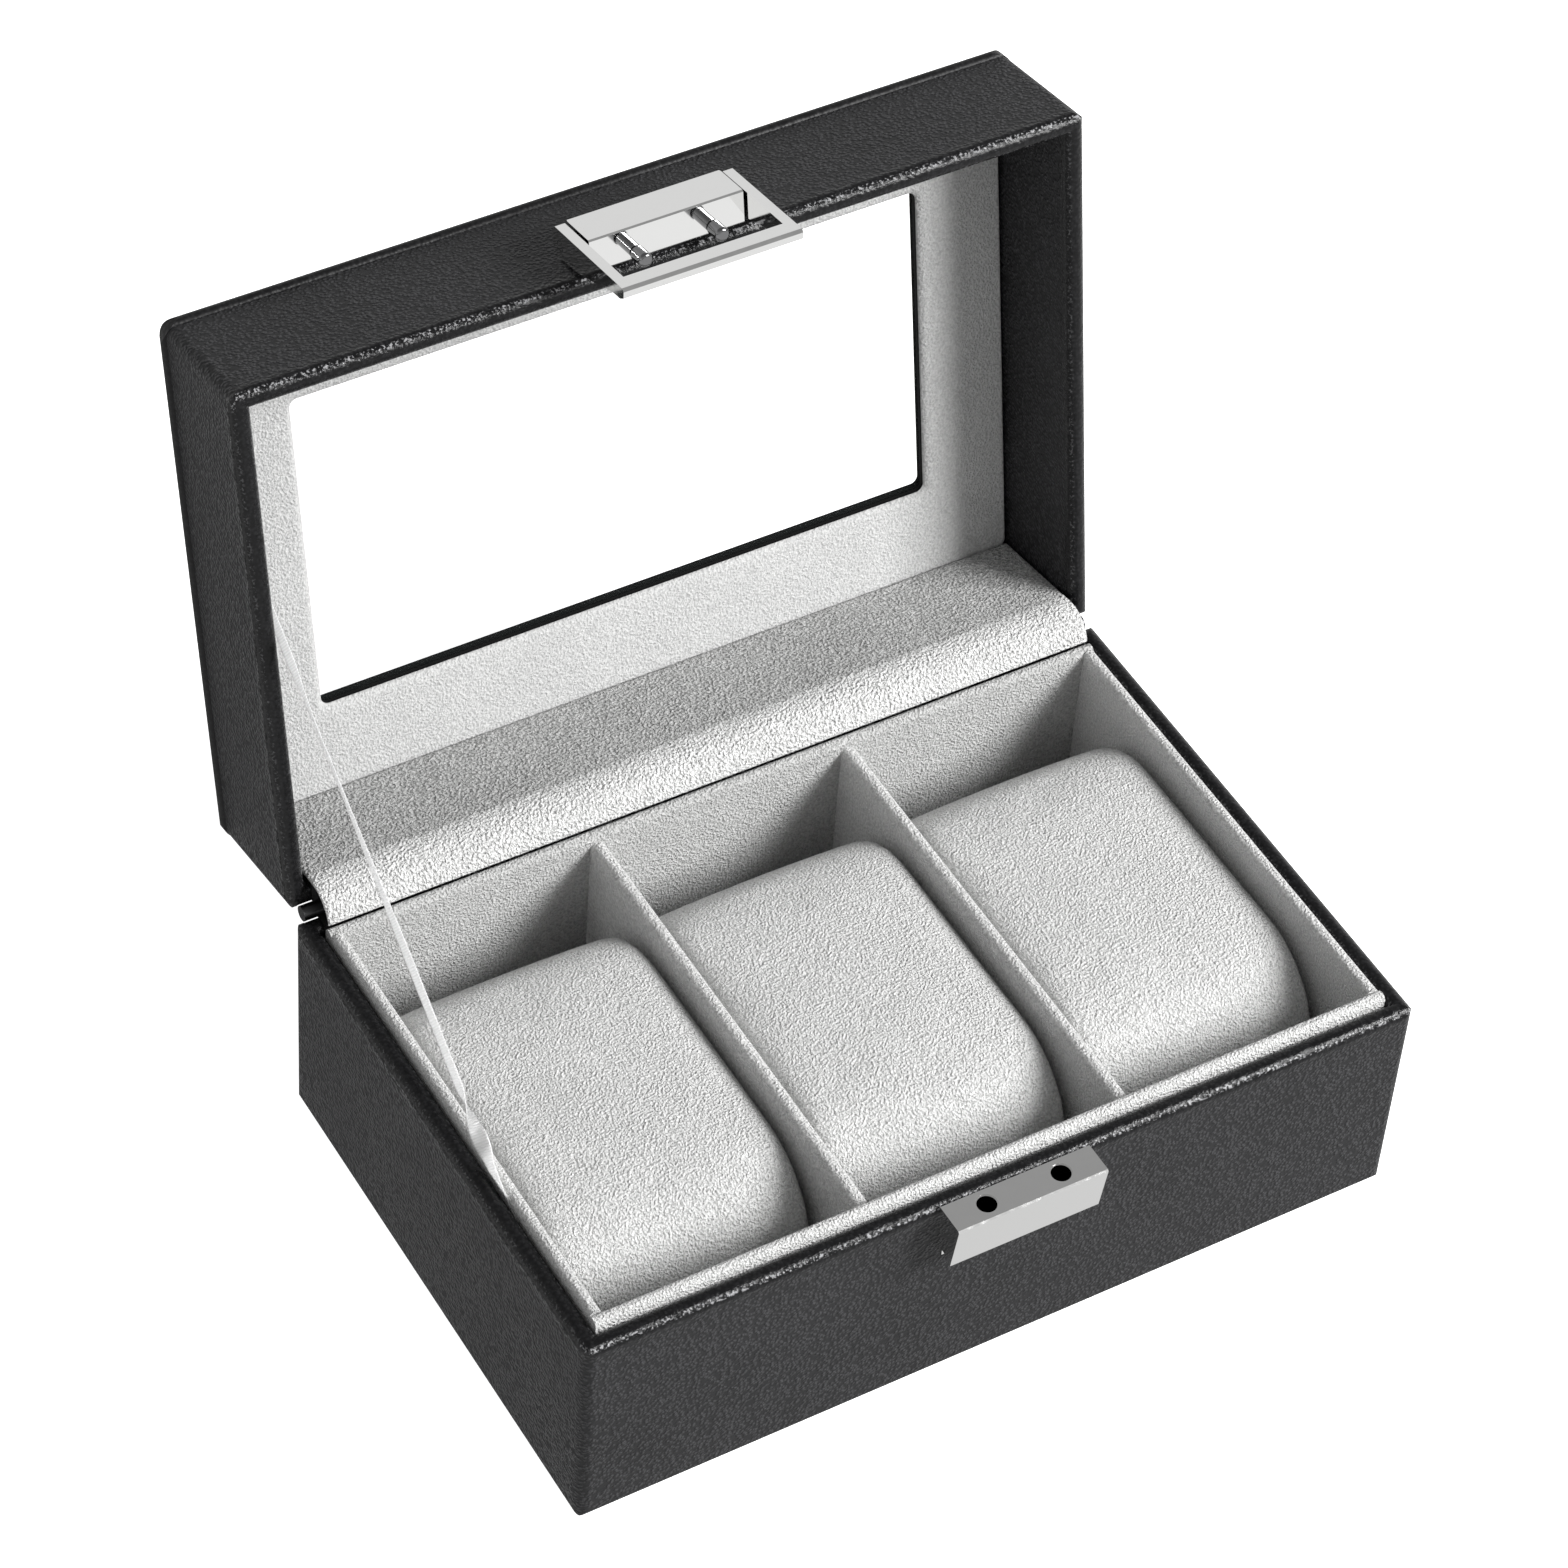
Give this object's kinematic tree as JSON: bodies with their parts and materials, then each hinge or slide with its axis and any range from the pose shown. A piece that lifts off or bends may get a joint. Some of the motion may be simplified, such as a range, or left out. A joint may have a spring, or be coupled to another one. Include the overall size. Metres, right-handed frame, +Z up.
{
  "type": "watch box",
  "caption": "Leather-covered watch box with a windowed lid on hidden hinges, velvet lining, dividers, lift-out cushions, ribbon stay and frame clasp.",
  "frame": {"origin": "middle of the underside of the base", "axes": "+Z up, +X to the right seen from the front, front with the clasp towards -Y"},
  "size_m": [0.1712, 0.1666, 0.1649],
  "materials": {
    "leather": "fine-grained black imitation leather",
    "velvet": "light grey velvet over board",
    "cushion": "light grey velvet over soft filling",
    "board": "fibreboard, covered",
    "underside": "black non-woven cloth",
    "pane": "clear",
    "clasp": "polished nickel plate",
    "steel": "plated steel",
    "ribbon": "white satin ribbon"
  },
  "bodies": {
    "base": {"base_front_board": "board", "base_back_board": "board", "base_left_board": "board", "base_right_board": "board", "base_bottom_board": "board", "base_leather": "leather", "base_underside_cloth": "underside", "lining_front": "velvet", "lining_back": "velvet", "lining_left": "velvet", "lining_right": "velvet", "lining_floor": "velvet", "divider_left": "velvet", "divider_right": "velvet", "hinge_left_base_leaf": "steel", "hinge_right_base_leaf": "steel", "hinge_left_pin": "steel", "hinge_right_pin": "steel", "hinge_base_screws": "steel", "hinge_cover": "velvet", "ribbon_stay": "ribbon", "clasp_base_block": "clasp", "clasp_base_screws": "steel"},
    "cushion_left": {"cushion_left": "cushion"},
    "cushion_middle": {"cushion_middle": "cushion"},
    "cushion_right": {"cushion_right": "cushion"},
    "lid": {"lid_front_board": "board", "lid_back_board": "board", "lid_left_board": "board", "lid_right_board": "board", "lid_leather": "leather", "top_panel_board": "board", "top_panel_leather": "leather", "window_pane": "pane", "window_frame_board": "velvet", "hinge_left_lid_leaf": "steel", "hinge_right_lid_leaf": "steel", "hinge_lid_screws": "steel", "clasp_lid_block": "clasp", "clasp_locating_pins": "clasp", "clasp_pivot_pins": "clasp", "clasp_lid_screws": "steel"},
    "clasp_frame": {"clasp_flap": "clasp"}
  },
  "joints": [
    {"name": "lid_hinge", "type": "hinge", "parent": "base", "child": "lid", "pos_m": [0, 0.05585, 0.0473], "axis": [-1, 0, 0], "range_deg": [-101, 0], "deforming": ["hinge_cover", "ribbon_stay"]},
    {"name": "clasp_frame_pivot", "type": "hinge", "parent": "lid", "child": "clasp_frame", "pos_m": [0, 0.08562, 0.15749], "axis": [-1, 0, 0], "range_deg": [0, 95]},
    {"name": "cushion_left_lift", "type": "slide", "parent": "base", "child": "cushion_left", "axis": [0, 0, 1], "range_m": [0, 0.05]},
    {"name": "cushion_middle_lift", "type": "slide", "parent": "base", "child": "cushion_middle", "axis": [0, 0, 1], "range_m": [0, 0.05]},
    {"name": "cushion_right_lift", "type": "slide", "parent": "base", "child": "cushion_right", "axis": [0, 0, 1], "range_m": [0, 0.05]}
  ]
}
